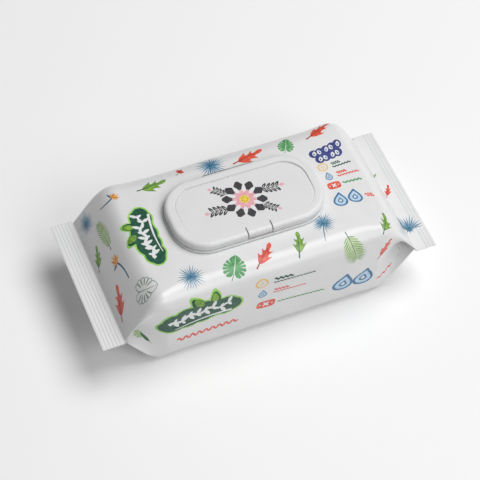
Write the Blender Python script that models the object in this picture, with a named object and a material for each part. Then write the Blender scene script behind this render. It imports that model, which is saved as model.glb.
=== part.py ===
"""Pack of wet wipes: a film wrap with crimped ends, a hinged plastic lid and the wipes inside."""

import math

import bmesh
import bpy
from mathutils import Vector

MM = 0.001

# Clearance between two pieces that touch on the real pack, in mm like every size below
GAP = 0.3

# Block of wipes, and the run of film from its end to the seal line
STACK_HALF_X = 74.0
END_RUN = 26.0

# Film wrap
SEAL_HALF_Y = 49.2
SEAL_Z = 33.0
BODY_HALF_Y = 49.7
SIDE_BULGE = 0.8
BODY_HEIGHT = 64.6
FILM = 0.4
TOP_CORNER = 13.0
BOTTOM_CORNER = 8.0

# Ends of the wrap, where the film falls to the seal. A tuck is how far short of the block's end
# the slope would meet the flat film
TOP_TUCK = 7.0
TOP_CROWN_TUCK = 10.0
TOP_SOFT = 8.0
BOTTOM_TUCK = 6.0
BOTTOM_CROWN_TUCK = 9.5
BOTTOM_SOFT = 6.0
WIDTH_RUN = 30.0
CORNER_RUN = 44.0
GUSSET_DEPTH = 19.0
GUSSET_RUN = 28.0
GUSSET_POWER = 1.15
EDGE_REACH_AT_SEAL = 2.0
FOLD_REACH_AT_SEAL = 2.0
FOLD_REACH_IN_BODY = 10.0
CAVITY_START = 2.4

# Crimped fins beyond the seal lines
FIN_LENGTH = 14.7
LEFT_PLAIN = 1.5
LEFT_RIBS = 6
RIGHT_PLAIN = 7.5
RIGHT_RIBS = 3
RIB_LIFT = 0.3

# Back seam folded flat under the pack
SEAM_HALF_Y = 6.0
SEAM_GROOVE = 1.6
SEAM_LIFT = 0.35

# Lid position and outline
LID_X = -1.5
LID_Y = 2.4
LID_HALF_X = 51.0
LID_HALF_Y = 26.4
LID_CORNER = 21.6

# Opening cut in the film under the lid
MOUTH_HALF_X = 29.0
MOUTH_HALF_Y = 12.0

# Lid frame, bonded to the film
FLANGE = 1.1
FLANGE_MARGIN = 1.0
FLANGE_CHAMFER = 0.35
WINDOW_HALF_X = 36.0
WINDOW_HALF_Y = 16.6
WINDOW_CORNER = 12.6
RIM_WALL = 1.1
RIM_HEIGHT = 2.9
LAND_HALF_X = 17.6
LAND_HEIGHT = 2.0
LAND_WALL = 1.4
CATCH_HALF_X = 4.5
CATCH_HEIGHT = 1.9
CATCH_WALL = 1.1

# Lid cover
COVER_HEIGHT = 5.6
COVER_WALL = 1.1
SKIRT_GAP = 0.35
COVER_EDGE = 2.6
COVER_RIM = 3.6
PANEL_STEP = 0.6
PANEL_SLANT = 0.3
PANEL_LIP = 0.02
PANEL_GROOVE = 0.5
GROOVE_FLOOR = 0.4
GROOVE_SLANT = 0.3
PLUG_WALL = 0.9
PLUG_GAP = 0.4
PLUG_REACH = 1.4
HINGE_NOTCH = 0.7
HINGE_SIDE_GAP = 0.5
BAR_DEPTH = 1.9
TAB_HALF_X = 7.9
TAB_LENGTH = 6.0
SLIT = 0.6
TAB_LIFT = 1.3
HOOK_WALL = 0.7
HOOK_HEIGHT = 1.0

# Wipes
STACK_TOP_END = 10.0
STACK_BOTTOM_END = 14.0
STACK_PLAN_CORNER = 7.0
WIPE_SIDE_MARGIN = 12.2
WIPE_END_MARGIN = 24.0
WIPE_PACKET = 1.0
TUFT_HALF_X = 21.0
TUFT_HALF_Y = 7.5
TUFT_HEIGHT = 2.6
TUFT_THICKER = 0.2

# Smoothness
CORNER_STEPS = 9
TOP_STEPS = 4
ARC_STEPS = 5

SEAL_HALF_X = STACK_HALF_X + END_RUN
FLANGE_BOTTOM = BODY_HEIGHT + GAP
FLANGE_TOP = FLANGE_BOTTOM + FLANGE
COVER_BOTTOM = FLANGE_TOP + SKIRT_GAP
COVER_TOP = FLANGE_TOP + COVER_HEIGHT
COVER_BACK = LID_Y + LID_HALF_Y
COVER_FRONT = LID_Y - LID_HALF_Y
HINGE_Y = COVER_BACK - HINGE_NOTCH
HINGE_Z = FLANGE_TOP + LAND_HEIGHT + 0.5 * GAP


def remove_everything():
    for item in list(bpy.data.objects):
        bpy.data.objects.remove(item, do_unlink=True)


def principled(name, colour, roughness, specular=0.5):
    material = bpy.data.materials.new(name)
    material.use_nodes = True
    shader = material.node_tree.nodes["Principled BSDF"]
    shader.inputs["Base Color"].default_value = (*colour, 1.0)
    shader.inputs["Roughness"].default_value = roughness
    shader.inputs["Metallic"].default_value = 0.0
    shader.inputs["Specular IOR Level"].default_value = specular
    return material


def add_object(name, bm, material, origin=(0.0, 0.0, 0.0)):
    """Link a finished bmesh, drawn in mm, as an object whose origin is at the given point."""
    place = Vector(origin)
    for vertex in bm.verts:
        vertex.co = (vertex.co - place) * MM
    mesh = bpy.data.meshes.new(name)
    bm.to_mesh(mesh)
    bm.free()
    item = bpy.data.objects.new(name, mesh)
    item.location = place * MM
    if material is not None:
        mesh.materials.append(material)
        mesh.shade_smooth()
        mesh.set_sharp_from_angle(angle=math.radians(32))
    bpy.context.scene.collection.objects.link(item)
    return item


def combine(item, bm, operation):
    """Cut a shape drawn in mm from an object, or add it, and keep the result as its mesh."""
    tool = add_object(item.name + "_tool", bm, None)
    modifier = item.modifiers.new("shape", "BOOLEAN")
    modifier.operation = operation
    modifier.object = tool
    modifier.solver = "EXACT"
    bpy.context.view_layer.update()
    graph = bpy.context.evaluated_depsgraph_get()
    mesh = bpy.data.meshes.new_from_object(item.evaluated_get(graph))
    item.modifiers.clear()
    item.data = mesh
    mesh.shade_smooth()
    mesh.set_sharp_from_angle(angle=math.radians(32))
    bpy.data.objects.remove(tool, do_unlink=True)


def box(x0, x1, y0, y1, z0, z1):
    bm = bmesh.new()
    made = bmesh.ops.create_cube(bm, size=1.0)
    for vertex in made["verts"]:
        vertex.co.x = x0 if vertex.co.x < 0 else x1
        vertex.co.y = y0 if vertex.co.y < 0 else y1
        vertex.co.z = z0 if vertex.co.z < 0 else z1
    return bm


def outline(half_x, half_y, radius, steps=CORNER_STEPS):
    """Rounded rectangle around the lid's middle, anticlockwise from its right side."""
    points = []
    for quarter, (side_x, side_y) in enumerate(((1, 1), (-1, 1), (-1, -1), (1, -1))):
        centre_x = LID_X + side_x * (half_x - radius)
        centre_y = LID_Y + side_y * (half_y - radius)
        for i in range(steps + 1):
            angle = 0.5 * math.pi * (quarter + i / steps)
            points.append((centre_x + radius * math.cos(angle), centre_y + radius * math.sin(angle)))
    return points


def lid_ring(inset, height):
    """Ring that runs inset from the cover's outline; the height may depend on y."""
    shape = outline(LID_HALF_X - inset, LID_HALF_Y - inset, LID_CORNER - inset)
    return [(x, y, height(y) if callable(height) else height) for x, y in shape]


def window_ring(offset, height):
    """Ring that runs offset outside the frame's window; the height may depend on y."""
    shape = outline(WINDOW_HALF_X + offset, WINDOW_HALF_Y + offset, WINDOW_CORNER + offset)
    return [(x, y, height(y) if callable(height) else height) for x, y in shape]


def skin_rings(rings, closed):
    """Join rings of equally many points; a closed set joins last to first, else ends are filled."""
    bm = bmesh.new()
    rows = [[bm.verts.new(point) for point in ring] for ring in rings]
    count = len(rows[0])
    pairs = list(zip(rows, rows[1:]))
    if closed:
        pairs.append((rows[-1], rows[0]))
    for lower, upper in pairs:
        for i in range(count):
            j = (i + 1) % count
            bm.faces.new((lower[i], lower[j], upper[j], upper[i]))
    if not closed:
        bm.faces.new(list(reversed(rows[0])))
        bm.faces.new(rows[-1])
    bmesh.ops.recalc_face_normals(bm, faces=bm.faces[:])
    return bm


def rise(distance, middle, total, soft):
    """Height gained at a distance from the seal: straight, then easing into level at the total.

    The straight part would reach the total at the middle distance.
    """
    slope = total / middle
    soft = min(soft, 0.95 * middle)
    start = middle - soft
    if distance <= start:
        return slope * distance
    if distance >= middle + soft:
        return total
    return slope * distance - slope * (distance - start) ** 2 / (4.0 * soft)


def smooth(value):
    value = min(1.0, max(0.0, value))
    return value * value * (3.0 - 2.0 * value)


def mix(first, second, share):
    return first + (second - first) * share


def round_corner(before, corner, after, reach, steps):
    """Points of an arc that leaves both sides of a corner at the given reach from it."""
    side_in = (Vector(before) - Vector(corner)).normalized()
    side_out = (Vector(after) - Vector(corner)).normalized()
    start = Vector(corner) + reach * side_in
    end = Vector(corner) + reach * side_out
    weight = math.sqrt(max(0.0, 0.5 * (1.0 - side_in.dot(side_out))))
    points = []
    for i in range(steps + 1):
        t = i / steps
        shares = ((1.0 - t) ** 2, 2.0 * weight * t * (1.0 - t), t * t)
        total = start * shares[0] + Vector(corner) * shares[1] + end * shares[2]
        points.append(total / sum(shares))
    return points


def half_angle(before, corner, after):
    side_in = (Vector(before) - Vector(corner)).normalized()
    side_out = (Vector(after) - Vector(corner)).normalized()
    return 0.5 * math.acos(max(-1.0, min(1.0, side_in.dot(side_out))))


def wrap_section(distance, depth, arc_steps, top_steps):
    """Half outline of the wrap at a distance from the seal, depth inside its outer face.

    Points run from the middle of the top, over the edge and the tucked gusset, to the middle
    of the bottom. Returns the (y, z) points and how many belong to the top, sides and bottom.
    """
    step = 0.5
    top_total = BODY_HEIGHT - SEAL_Z - FILM
    bottom_total = SEAL_Z - FILM
    top_run = END_RUN - TOP_TUCK
    bottom_run = END_RUN - BOTTOM_TUCK
    top_rise = rise(distance, top_run, top_total, TOP_SOFT)
    bottom_fall = rise(distance, bottom_run, bottom_total, BOTTOM_SOFT)
    top = SEAL_Z + FILM + top_rise
    bottom = SEAL_Z - FILM - bottom_fall
    crown = rise(distance, END_RUN - TOP_CROWN_TUCK, top_total, TOP_SOFT) - top_rise
    belly = rise(distance, END_RUN - BOTTOM_CROWN_TUCK, bottom_total, BOTTOM_SOFT) - bottom_fall
    top_pitch = (rise(distance + step, top_run, top_total, TOP_SOFT) - top_rise) / step
    bottom_pitch = (rise(distance + step, bottom_run, bottom_total, BOTTOM_SOFT) - bottom_fall) / step
    spread = smooth(distance / WIDTH_RUN)
    half_y = mix(SEAL_HALF_Y, BODY_HALF_Y, spread)
    notch = GUSSET_DEPTH * max(0.0, 1.0 - distance / GUSSET_RUN) ** GUSSET_POWER
    middle_z = 0.5 * (top + bottom)

    edge = Vector((half_y, top))
    fold = Vector((half_y - notch, middle_z))
    down = (fold - edge).normalized()
    inward = Vector((down.y, -down.x))
    top_inset = depth * math.sqrt(1.0 + top_pitch ** 2)
    bottom_inset = depth * math.sqrt(1.0 + bottom_pitch ** 2)

    def on_side(level):
        start = edge + inward * depth
        return start + down * ((level - start.y) / down.y)

    upper = on_side(top - top_inset)
    tuck = on_side(middle_z)
    mirrored = on_side(2.0 * middle_z - bottom - bottom_inset)
    lower = Vector((mirrored.x, bottom + bottom_inset))
    above = Vector((0.0, upper.y))
    below = Vector((0.0, lower.y))

    side = (tuck - upper).length
    rounding = smooth(distance / CORNER_RUN)
    top_reach = mix(EDGE_REACH_AT_SEAL, TOP_CORNER, rounding)
    bottom_reach = mix(EDGE_REACH_AT_SEAL, BOTTOM_CORNER, rounding)
    fold_reach = mix(FOLD_REACH_AT_SEAL, FOLD_REACH_IN_BODY, smooth(distance / GUSSET_RUN))
    top_reach -= depth / math.tan(half_angle(above, upper, tuck))
    bottom_reach -= depth / math.tan(half_angle(tuck, lower, below))
    fold_reach += depth / math.tan(half_angle(upper, tuck, lower))
    longest = 0.45 * side
    top_reach = max(FILM, min(top_reach, longest))
    bottom_reach = max(FILM, min(bottom_reach, longest))
    fold_reach = max(FILM, min(fold_reach, longest))

    top_arc = round_corner(above, upper, tuck, top_reach, arc_steps)
    fold_arc = round_corner(upper, tuck, lower, fold_reach, 2)
    bottom_arc = round_corner(tuck, lower, below, bottom_reach, max(2, arc_steps - 1))

    points = []
    for i in range(top_steps):
        y = top_arc[0].x * i / top_steps
        points.append([y, upper.y + crown * (1.0 - (y / upper.x) ** 2)])
    for i, point in enumerate(top_arc):
        fade = 1.0 - i / arc_steps
        points.append([point.x, point.y + fade * crown * max(0.0, 1.0 - (point.x / upper.x) ** 2)])
    top_count = len(points)
    points += [[point.x, point.y] for point in (top_arc[-1].lerp(fold_arc[0], 0.5), *fold_arc)]
    points.append(list(fold_arc[-1].lerp(bottom_arc[0], 0.5)))
    side_count = len(points) - top_count
    span = upper.y - lower.y
    for point in points:
        height = max(0.0, min(1.0, (point[1] - lower.y) / span))
        if point[0] > 0.8 * half_y:
            point[0] += SIDE_BULGE * spread * 4.0 * height * (1.0 - height)
    for i, point in enumerate(bottom_arc):
        fade = i / (len(bottom_arc) - 1)
        drop = fade * belly * max(0.0, 1.0 - (point.x / lower.x) ** 2)
        points.append([point.x, point.y - drop])
    seam = (SEAM_HALF_Y + SEAM_GROOVE, SEAM_HALF_Y + 0.5 * SEAM_GROOVE, SEAM_HALF_Y, 0.0)
    for y in (bottom_arc[-1].x * 0.55, *seam):
        points.append([y, lower.y - belly * (1.0 - (y / lower.x) ** 2)])
    return points, top_count, side_count


def wrap_ring(x, distance, depth, arc_steps, top_steps):
    """Closed ring of the wrap at x: the far half from the top down, then the near half up."""
    half, top_count, side_count = wrap_section(distance, depth, arc_steps, top_steps)
    far = [Vector((x, y, z)) for y, z in half]
    near = [Vector((x, -y, z)) for y, z in half[-2:0:-1]]
    if depth == 0.0:
        far[-3].z += SEAM_LIFT * smooth((distance - WIDTH_RUN) / WIDTH_RUN)
    return far + near, top_count, side_count, len(half)


def wrap_distances():
    """Distances from the seal at which the wrap is measured, closer where it curves more."""
    runs = [0.6, 2.4, 5.5, 9.0, 13.0, 17.0, 21.0, 25.5, 30.5, 36.0, 44.0, 60.0]
    return [run for run in runs if run < SEAL_HALF_X]


def fin(bm, seal_side, ring, top_count, side_count, half_count, plain, ribs):
    """Fin from the seal line outwards, plain and then crimped, joined to the wrap's first ring."""
    reaches = [0.0]
    reaches += [plain + (FIN_LENGTH - plain) * i / (2 * ribs) for i in range(2 * ribs + 1)]
    rows = []
    for i, reach in enumerate(reaches):
        x = seal_side * (SEAL_HALF_X + reach)
        lift = RIB_LIFT if i and i % 2 == 0 else 0.0
        upper = SEAL_Z + FILM + lift
        lower = SEAL_Z - FILM + lift
        corners = ((0.0, upper), (SEAL_HALF_Y, upper), (SEAL_HALF_Y, lower),
                   (0.0, lower), (-SEAL_HALF_Y, lower), (-SEAL_HALF_Y, upper))
        rows.append([bm.verts.new((x, y, z)) for y, z in corners])
    for inner, outer in zip(rows, rows[1:]):
        for i in range(6):
            j = (i + 1) % 6
            bm.faces.new((inner[i], inner[j], outer[j], outer[i]))
    bm.faces.new(rows[-1])

    fold_index = top_count + side_count // 2
    count = len(ring)

    def owner(index):
        mirrored = index if index < half_count else count - index
        far = index < half_count
        if mirrored < TOP_STEPS // 2:
            return 0
        if mirrored >= half_count - 2:
            return 3
        if mirrored < fold_index:
            return 1 if far else 5
        return 2 if far else 4

    for i in range(count):
        j = (i + 1) % count
        first, second = rows[0][owner(i)], rows[0][owner(j)]
        if first is second:
            bm.faces.new((ring[i], ring[j], first))
        else:
            bm.faces.new((ring[i], ring[j], second, first))


def make_film_wrap():
    bm = bmesh.new()
    distances = wrap_distances()
    stations = [(-SEAL_HALF_X + d, d) for d in distances]
    stations += [(SEAL_HALF_X - d, d) for d in reversed(distances)]
    rings = []
    for x, distance in stations:
        points, top_count, side_count, half_count = wrap_ring(x, distance, 0.0, ARC_STEPS, TOP_STEPS)
        rings.append([bm.verts.new(point) for point in points])
    count = len(rings[0])
    for left, right in zip(rings, rings[1:]):
        for i in range(count):
            j = (i + 1) % count
            bm.faces.new((left[i], left[j], right[j], right[i]))
    fin(bm, -1, rings[0], top_count, side_count, half_count, LEFT_PLAIN, LEFT_RIBS)
    fin(bm, 1, rings[-1], top_count, side_count, half_count, RIGHT_PLAIN, RIGHT_RIBS)
    bmesh.ops.recalc_face_normals(bm, faces=bm.faces[:])
    wrap = add_object("film_wrap", bm, principled("printed_film", (0.80, 0.81, 0.82), 0.32))

    inner = [d for d in distances if d >= CAVITY_START]
    stations = [(-SEAL_HALF_X + d, d) for d in inner]
    stations += [(SEAL_HALF_X - d, d) for d in reversed(inner)]
    hollow = skin_rings([wrap_ring(x, d, FILM, ARC_STEPS, 3)[0] for x, d in stations], False)
    combine(wrap, hollow, "DIFFERENCE")
    mouth = outline(MOUTH_HALF_X, MOUTH_HALF_Y, MOUTH_HALF_Y, 6)
    cut = [[(x, y, BODY_HEIGHT + lift) for x, y in mouth] for lift in (-2.0 * FILM, 2.0 * FILM)]
    combine(wrap, skin_rings(cut, False), "DIFFERENCE")
    return wrap


def make_wipes_stack():
    """Block of folded wipes that fills the wrap, with its ends rounded by the film."""
    floor = FILM + GAP
    ceiling = BODY_HEIGHT - FILM - 2.0 * GAP - WIPE_PACKET
    half_y = BODY_HALF_Y - FILM - GAP
    longest = max(STACK_TOP_END, STACK_BOTTOM_END)
    ends = [longest * share for share in (0.0, 0.18, 0.45, 0.74, 1.0)]
    rings = []
    stations = [(-STACK_HALF_X + away, away) for away in ends]
    stations += [(STACK_HALF_X - away, away) for away in reversed(ends)]
    for x, away in stations:

        def pulled_in(radius):
            left = max(0.0, radius - away)
            return radius - math.sqrt(radius * radius - left * left)

        top = ceiling - pulled_in(STACK_TOP_END)
        bottom = floor + pulled_in(STACK_BOTTOM_END)
        side = half_y - pulled_in(STACK_PLAN_CORNER)
        corners = [(0.0, top), (side, top), (side, bottom), (0.0, bottom)]
        half = [(0.0, top)]
        half += round_corner(corners[0], corners[1], corners[2], TOP_CORNER, 4)
        half += round_corner(corners[1], corners[2], corners[3], BOTTOM_CORNER, 3)
        half.append((0.0, bottom))
        far = [(x, y, z) for y, z in half]
        near = [(x, -y, z) for y, z in half[-2:0:-1]]
        rings.append(far + near)
    bm = skin_rings(rings, False)
    return add_object("wipes_stack", bm, principled("wipes", (0.86, 0.87, 0.87), 0.85, 0.2))


def make_top_wipe():
    """First wipe: a sheet folded in quarters, whose middle is pinched up through the mouth."""
    base = BODY_HEIGHT - FILM - GAP
    half_x = STACK_HALF_X - WIPE_END_MARGIN
    half_y = BODY_HALF_Y - WIPE_SIDE_MARGIN
    columns = [-half_x, LID_X - 1.6 * TUFT_HALF_X]
    columns += [LID_X + 0.25 * TUFT_HALF_X * i for i in range(-4, 5)]
    columns += [LID_X + 1.6 * TUFT_HALF_X, half_x]
    rows = [-half_y, LID_Y - 1.7 * TUFT_HALF_Y]
    rows += [LID_Y + TUFT_HALF_Y * share for share in (-1.0, -0.7, -0.4, -0.15, 0.15, 0.4, 0.7, 1.0)]
    rows += [LID_Y + 1.7 * TUFT_HALF_Y, half_y]
    crest = BODY_HEIGHT + TUFT_HEIGHT - base

    def lift(x, y):
        along = smooth(1.35 * (1.0 - abs(x - LID_X) / TUFT_HALF_X))
        across = smooth(1.15 * (1.0 - abs(y - LID_Y) / TUFT_HALF_Y))
        return crest * along * across

    bm = bmesh.new()
    top = [[bm.verts.new((x, y, base + lift(x, y))) for y in rows] for x in columns]
    thinned = (crest - TUFT_THICKER) / crest
    bottom = [[bm.verts.new((x, y, base - WIPE_PACKET + thinned * lift(x, y))) for y in rows]
              for x in columns]
    for i in range(len(columns) - 1):
        for j in range(len(rows) - 1):
            bm.faces.new((top[i][j], top[i + 1][j], top[i + 1][j + 1], top[i][j + 1]))
            bm.faces.new((bottom[i][j], bottom[i][j + 1], bottom[i + 1][j + 1], bottom[i + 1][j]))
    for i in range(len(columns) - 1):
        for j in (0, len(rows) - 1):
            bm.faces.new((top[i][j], top[i + 1][j], bottom[i + 1][j], bottom[i][j]))
    for j in range(len(rows) - 1):
        for i in (0, len(columns) - 1):
            bm.faces.new((top[i][j], top[i][j + 1], bottom[i][j + 1], bottom[i][j]))
    bmesh.ops.recalc_face_normals(bm, faces=bm.faces[:])
    return add_object("top_wipe", bm, principled("first_wipe", (0.88, 0.89, 0.89), 0.85, 0.2))


def make_lid_frame():
    rim_top = FLANGE_TOP + RIM_HEIGHT
    shoulder = FLANGE_TOP - FLANGE_CHAMFER
    rings = [
        lid_ring(-FLANGE_MARGIN, FLANGE_BOTTOM),
        lid_ring(-FLANGE_MARGIN, shoulder),
        lid_ring(FLANGE_CHAMFER - FLANGE_MARGIN, FLANGE_TOP),
        window_ring(RIM_WALL, FLANGE_TOP),
        window_ring(RIM_WALL, rim_top - 0.3 * RIM_WALL),
        window_ring(0.7 * RIM_WALL, rim_top),
        window_ring(0.3 * RIM_WALL, rim_top),
        window_ring(0.0, rim_top - 0.3 * RIM_WALL),
        window_ring(0.0, FLANGE_BOTTOM),
    ]
    bm = skin_rings(rings, True)
    frame = add_object("lid_frame", bm, principled("frame_plastic", (0.78, 0.79, 0.80), 0.36))
    root = 0.5 * FLANGE
    land = box(LID_X - LAND_HALF_X, LID_X + LAND_HALF_X, HINGE_Y - LAND_WALL, HINGE_Y,
               FLANGE_TOP - root, FLANGE_TOP + LAND_HEIGHT)
    combine(frame, land, "UNION")
    catch_y = COVER_FRONT + COVER_WALL + HOOK_WALL + GAP
    catch = box(LID_X - CATCH_HALF_X, LID_X + CATCH_HALF_X, catch_y, catch_y + CATCH_WALL,
                FLANGE_TOP - root, FLANGE_TOP + CATCH_HEIGHT)
    combine(frame, catch, "UNION")
    return frame


def panel_share(y):
    """How far y lies from the front of the sunk panel towards its back."""
    inner = LID_HALF_Y - COVER_EDGE - COVER_RIM
    return (y - LID_Y + inner) / (2.0 * inner)


def panel_height(y):
    """Height of the sunk panel, which slants down from the front rim towards the hinge."""
    return COVER_TOP - PANEL_LIP - PANEL_STEP * panel_share(y)


def groove_height(y):
    """Height of the groove around the panel, which deepens towards the hinge."""
    return panel_height(y) - PANEL_GROOVE * panel_share(y)


def make_lid_cover():
    rim_in = COVER_EDGE + COVER_RIM
    groove_in = rim_in + PANEL_SLANT
    panel_in = groove_in + GROOVE_FLOOR + GROOVE_SLANT
    plug_foot = FLANGE_TOP + RIM_HEIGHT - PLUG_REACH

    def under(y):
        return panel_height(y) - COVER_WALL

    rings = [
        window_ring(RIM_WALL + PLUG_GAP, under),
        window_ring(RIM_WALL + PLUG_GAP, plug_foot),
        window_ring(RIM_WALL + PLUG_GAP + PLUG_WALL, plug_foot),
        window_ring(RIM_WALL + PLUG_GAP + PLUG_WALL, under),
        lid_ring(panel_in - 0.5 * COVER_WALL, under),
        lid_ring(rim_in - 0.5 * COVER_WALL, COVER_TOP - COVER_WALL),
        lid_ring(COVER_WALL + 0.6 * COVER_EDGE, COVER_TOP - COVER_WALL),
        lid_ring(COVER_WALL, COVER_TOP - COVER_WALL - 0.6 * COVER_EDGE),
        lid_ring(COVER_WALL, COVER_BOTTOM),
        lid_ring(0.0, COVER_BOTTOM),
    ]
    arc = 4
    for i in range(arc + 1):
        angle = 0.5 * math.pi * i / arc
        inset = COVER_EDGE * (1.0 - math.cos(angle))
        rings.append(lid_ring(inset, COVER_TOP - COVER_EDGE * (1.0 - math.sin(angle))))
    rings.append(lid_ring(rim_in, COVER_TOP))
    rings.append(lid_ring(groove_in, groove_height))
    rings.append(lid_ring(groove_in + GROOVE_FLOOR, groove_height))
    rings.append(lid_ring(panel_in, panel_height))
    bm = skin_rings(rings, False)
    hinge = (LID_X, HINGE_Y, HINGE_Z)
    cover = add_object("lid_cover", bm, principled("cover_plastic", (0.80, 0.80, 0.81), 0.34), hinge)

    notch_x = LAND_HALF_X + HINGE_SIDE_GAP
    beyond = COVER_BACK + COVER_EDGE
    step_in = box(LID_X - notch_x, LID_X + notch_x, HINGE_Y, beyond,
                  COVER_BOTTOM - COVER_WALL, COVER_TOP + COVER_WALL)
    combine(cover, step_in, "DIFFERENCE")
    bar_bottom = HINGE_Z + 0.5 * GAP
    land_room = box(LID_X - notch_x, LID_X + notch_x, HINGE_Y - LAND_WALL - 2.0 * GAP, beyond,
                    COVER_BOTTOM - COVER_WALL, bar_bottom)
    combine(cover, land_room, "DIFFERENCE")
    bar = box(LID_X - notch_x, LID_X + notch_x, HINGE_Y - BAR_DEPTH, HINGE_Y,
              bar_bottom, COVER_TOP - 1.3 * COVER_WALL)
    combine(cover, bar, "UNION")

    tab_back = COVER_FRONT + TAB_LENGTH
    for side in (-1, 1):
        middle = LID_X + side * (TAB_HALF_X + 0.5 * SLIT)
        slit = box(middle - 0.5 * SLIT, middle + 0.5 * SLIT, COVER_FRONT - COVER_EDGE, tab_back,
                   COVER_BOTTOM - COVER_WALL, COVER_TOP + COVER_WALL)
        combine(cover, slit, "DIFFERENCE")
    finger = box(LID_X - TAB_HALF_X - 0.5 * SLIT, LID_X + TAB_HALF_X + 0.5 * SLIT,
                 COVER_FRONT - COVER_EDGE, COVER_FRONT + 2.0 * COVER_WALL,
                 COVER_BOTTOM - COVER_WALL, COVER_BOTTOM + TAB_LIFT)
    combine(cover, finger, "DIFFERENCE")
    hook_y = COVER_FRONT + 0.5 * COVER_WALL
    hook_z = COVER_BOTTOM + TAB_LIFT
    hook = box(LID_X - CATCH_HALF_X, LID_X + CATCH_HALF_X, hook_y, COVER_FRONT + COVER_WALL + HOOK_WALL,
               hook_z, hook_z + HOOK_HEIGHT)
    combine(cover, hook, "UNION")
    return cover


def main():
    remove_everything()
    make_film_wrap()
    make_wipes_stack()
    make_top_wipe()
    make_lid_frame()
    make_lid_cover()


main()
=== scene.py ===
"""Looks of a pack of wet wipes: its printed film, hinged lid, wipes and a plain studio."""

import math
from functools import partial

import bmesh
import bpy
import numpy as np
from mathutils import Matrix, Vector
from mathutils.geometry import delaunay_2d_cdt


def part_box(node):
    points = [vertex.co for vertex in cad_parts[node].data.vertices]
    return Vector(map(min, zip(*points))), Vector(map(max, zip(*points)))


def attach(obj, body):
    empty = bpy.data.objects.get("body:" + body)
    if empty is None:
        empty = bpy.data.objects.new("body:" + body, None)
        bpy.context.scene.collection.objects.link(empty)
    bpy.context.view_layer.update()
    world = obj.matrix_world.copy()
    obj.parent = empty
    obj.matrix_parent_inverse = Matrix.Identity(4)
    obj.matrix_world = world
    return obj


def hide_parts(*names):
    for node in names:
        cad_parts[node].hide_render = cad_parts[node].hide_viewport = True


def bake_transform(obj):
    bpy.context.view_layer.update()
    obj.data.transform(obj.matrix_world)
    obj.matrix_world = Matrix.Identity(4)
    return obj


MM = 0.001
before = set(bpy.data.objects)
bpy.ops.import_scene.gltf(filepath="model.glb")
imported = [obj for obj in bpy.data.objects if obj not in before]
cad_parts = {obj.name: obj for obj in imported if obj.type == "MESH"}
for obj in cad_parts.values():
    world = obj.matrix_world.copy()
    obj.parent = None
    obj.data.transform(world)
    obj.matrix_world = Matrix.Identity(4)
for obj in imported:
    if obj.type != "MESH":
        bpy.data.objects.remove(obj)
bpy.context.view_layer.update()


def box_mm(node):
    low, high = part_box(node)
    return np.array(low) / MM, np.array(high) / MM


# Sizes are in mm. Those that the frame holds are read from it
film_low, film_high = box_mm("film_wrap")
stack_low, stack_high = box_mm("wipes_stack")
frame_low, frame_high = box_mm("lid_frame")
cover_low, cover_high = box_mm("lid_cover")
wipe_high = box_mm("top_wipe")[1]

# Film wrap
FIN_LENGTH = 14.7
SEAL_HALF_X = film_high[0] - FIN_LENGTH
FIN_END = SEAL_HALF_X + FIN_LENGTH
SEAL_HALF_Y = 49.2
SEAL_Z = 33.0
END_RUN = SEAL_HALF_X - stack_high[0]
BODY_HEIGHT = film_high[2]
SIDE_BULGE = 0.8
BODY_HALF_Y = film_high[1] - SIDE_BULGE
FILM = 0.4
TOP_CORNER = 13.0
BOTTOM_CORNER = 8.0
TOP_TUCK = 7.0
TOP_CROWN_TUCK = 10.0
TOP_SOFT = 8.0
BOTTOM_TUCK = 6.0
BOTTOM_CROWN_TUCK = 9.5
BOTTOM_SOFT = 6.0
WIDTH_RUN = 30.0
CORNER_RUN = 44.0
GUSSET_DEPTH = 19.0
GUSSET_RUN = 28.0
GUSSET_POWER = 1.15
REACH_AT_SEAL = 2.0
FOLD_REACH = 10.0
CAVITY_START = 2.4
LEFT_PLAIN = 1.5
LEFT_RIBS = 6
LEFT_RIB_LIFT = 0.14
RIGHT_PLAIN = 7.5
RIGHT_RIBS = 3
RIGHT_RIB_LIFT = 0.3
SEAM_Y = 6.0
SEAM_GROOVE = 1.6
SEAM_LIFT = 0.35
GATHER_LIFT = 0.13
WAVE_LIFT = 0.14
GUSSET_FOLD_LIFT = 0.22

# Lid and mouth
LID_X, LID_Y = 0.5 * (frame_low + frame_high)[:2]
LID_HALF_X, LID_HALF_Y = 0.5 * (cover_high - cover_low)[:2]
MOUTH_HALF_X = 29.0
MOUTH_HALF_Y = 12.0

COVER_TOP = cover_high[2]
COVER_BORDER = 6.2
PANEL_LIP = 0.02
PANEL_STEP = 0.6
PRINT_LIFT = 0.03
HINGE_Y = frame_high[1]
HINGE_HALF_X = 17.6
LAND_TOP = 68.0
BAR_BOTTOM = 68.3
WEB_THICKNESS = 0.12
WEB_OVERLAP = 0.6
WEB_BOW = 0.08
WEB_BOW_REACH = 0.25

# Wipes
LAYERS = 36
LAYER_GROOVE = 0.35
PLY = 0.25
TUFT_HALF_X = 21.0
TUFT_HALF_Y = 7.5

# Film coordinates: x along the pack, and s, the way round it from the middle of the top. These are
# the values of s, over the far side, at which the top, corner, side, fold and bottom meet
TOP_FLAT = BODY_HALF_Y - TOP_CORNER
TOP_ARC_END = TOP_FLAT + 0.5 * math.pi * TOP_CORNER
SIDE_HEIGHT = BODY_HEIGHT - TOP_CORNER - BOTTOM_CORNER
FOLD_START = TOP_ARC_END + BODY_HEIGHT / 2 - TOP_CORNER - FOLD_REACH
FOLD_END = FOLD_START + 2.0 * FOLD_REACH
SIDE_END = TOP_ARC_END + SIDE_HEIGHT
BOTTOM_ARC_END = SIDE_END + 0.5 * math.pi * BOTTOM_CORNER
HALF_ROUND = BOTTOM_ARC_END + BODY_HALF_Y - BOTTOM_CORNER


def mix(first, second, share):
    return first + (second - first) * share


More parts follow.
